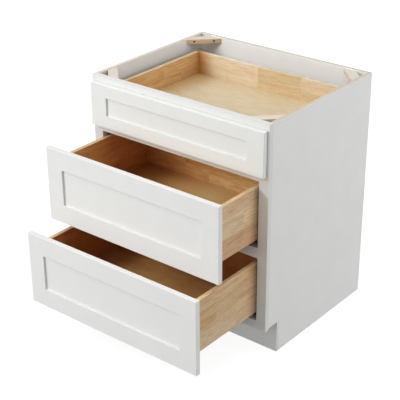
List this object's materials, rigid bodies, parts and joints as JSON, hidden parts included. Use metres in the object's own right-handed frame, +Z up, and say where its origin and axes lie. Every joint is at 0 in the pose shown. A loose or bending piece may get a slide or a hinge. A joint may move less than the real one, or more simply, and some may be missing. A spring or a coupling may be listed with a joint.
{
  "type": "base cabinet with drawers",
  "caption": "Face-frame kitchen base cabinet on a recessed toe kick, with shaker-front drawers that slide on hidden full-extension runners; some drawers stand part way out.",
  "frame": {"origin": "bottom centre of the back, where the wall meets the floor", "axes": "+X to the right as seen from the room, +Y into the wall, +Z up; the drawers open along -Y"},
  "size_m": [0.762, 0.9717, 0.8763],
  "materials": {
    "painted_frame": "satin white paint on solid wood",
    "painted_front": "satin white paint on solid wood",
    "painted_side": "satin white paint on plywood, bare ply at the edges",
    "painted_kick": "matt white paint on plywood",
    "laminated_back": "pale laminate on plywood",
    "laminated_floor": "pale laminate on plywood",
    "brace_wood": "bare sawn wood",
    "box_wood": "finger-jointed and edge-glued wood, clear satin lacquer",
    "box_plywood": "birch plywood, clear satin lacquer",
    "runner_steel": "galvanised sheet",
    "socket_plastic": "moulded nylon",
    "shoe_nylon": "moulded nylon",
    "clip_plastic": "moulded"
  },
  "bodies": {
    "carcass": {"left_side_panel": "painted_side", "right_side_panel": "painted_side", "back_panel": "laminated_back", "floor_panel": "laminated_floor", "left_stile": "painted_frame", "right_stile": "painted_frame", "top_rail": "painted_frame", "upper_mid_rail": "painted_frame", "lower_mid_rail": "painted_frame", "bottom_rail": "painted_frame", "toe_kick_board": "painted_kick", "front_left_brace": "brace_wood", "front_right_brace": "brace_wood", "back_left_brace": "brace_wood", "back_right_brace": "brace_wood", "cabinet_runners": "runner_steel", "rear_sockets": "socket_plastic"},
    "top_drawer": {"top_front_stiles": "painted_front", "top_front_rails": "painted_front", "top_front_panel": "painted_front", "top_box_left_side": "box_wood", "top_box_right_side": "box_wood", "top_box_front": "box_wood", "top_box_back": "box_wood", "top_box_bottom": "box_plywood", "top_drawer_runners": "runner_steel", "top_locking_clips": "clip_plastic"},
    "middle_drawer": {"middle_front_stiles": "painted_front", "middle_front_rails": "painted_front", "middle_front_panel": "painted_front", "middle_box_left_side": "box_wood", "middle_box_right_side": "box_wood", "middle_box_front": "box_wood", "middle_box_back": "box_wood", "middle_box_bottom": "box_plywood", "middle_drawer_runners": "runner_steel", "middle_locking_clips": "clip_plastic"},
    "bottom_drawer": {"bottom_front_stiles": "painted_front", "bottom_front_rails": "painted_front", "bottom_front_panel": "painted_front", "bottom_box_left_side": "box_wood", "bottom_box_right_side": "box_wood", "bottom_box_front": "box_wood", "bottom_box_back": "box_wood", "bottom_box_bottom": "box_plywood", "bottom_drawer_runners": "runner_steel", "bottom_locking_clips": "clip_plastic"},
    "top_middle_members": {"top_middle_runners": "runner_steel", "top_runner_shoes": "shoe_nylon"},
    "middle_middle_members": {"middle_middle_runners": "runner_steel", "middle_runner_shoes": "shoe_nylon"},
    "bottom_middle_members": {"bottom_middle_runners": "runner_steel", "bottom_runner_shoes": "shoe_nylon"}
  },
  "joints": [
    {"name": "top_drawer_slide", "type": "slide", "parent": "carcass", "child": "top_drawer", "axis": [0, -1, 0], "range_m": [0, 0.508]},
    {"name": "top_runner_slide", "type": "slide", "parent": "carcass", "child": "top_middle_members", "axis": [0, -1, 0], "range_m": [0, 0.254]},
    {"name": "middle_drawer_slide", "type": "slide", "parent": "carcass", "child": "middle_drawer", "axis": [0, -1, 0], "range_m": [-0.229, 0.203]},
    {"name": "middle_runner_slide", "type": "slide", "parent": "carcass", "child": "middle_middle_members", "axis": [0, -1, 0], "range_m": [-0.1145, 0.1015]},
    {"name": "bottom_drawer_slide", "type": "slide", "parent": "carcass", "child": "bottom_drawer", "axis": [0, -1, 0], "range_m": [-0.342, 0.09]},
    {"name": "bottom_runner_slide", "type": "slide", "parent": "carcass", "child": "bottom_middle_members", "axis": [0, -1, 0], "range_m": [-0.171, 0.045]}
  ],
  "couplings": [
    {"joint": "top_runner_slide", "follows": "top_drawer_slide", "ratio": 0.5},
    {"joint": "middle_runner_slide", "follows": "middle_drawer_slide", "ratio": 0.5},
    {"joint": "bottom_runner_slide", "follows": "bottom_drawer_slide", "ratio": 0.5}
  ]
}
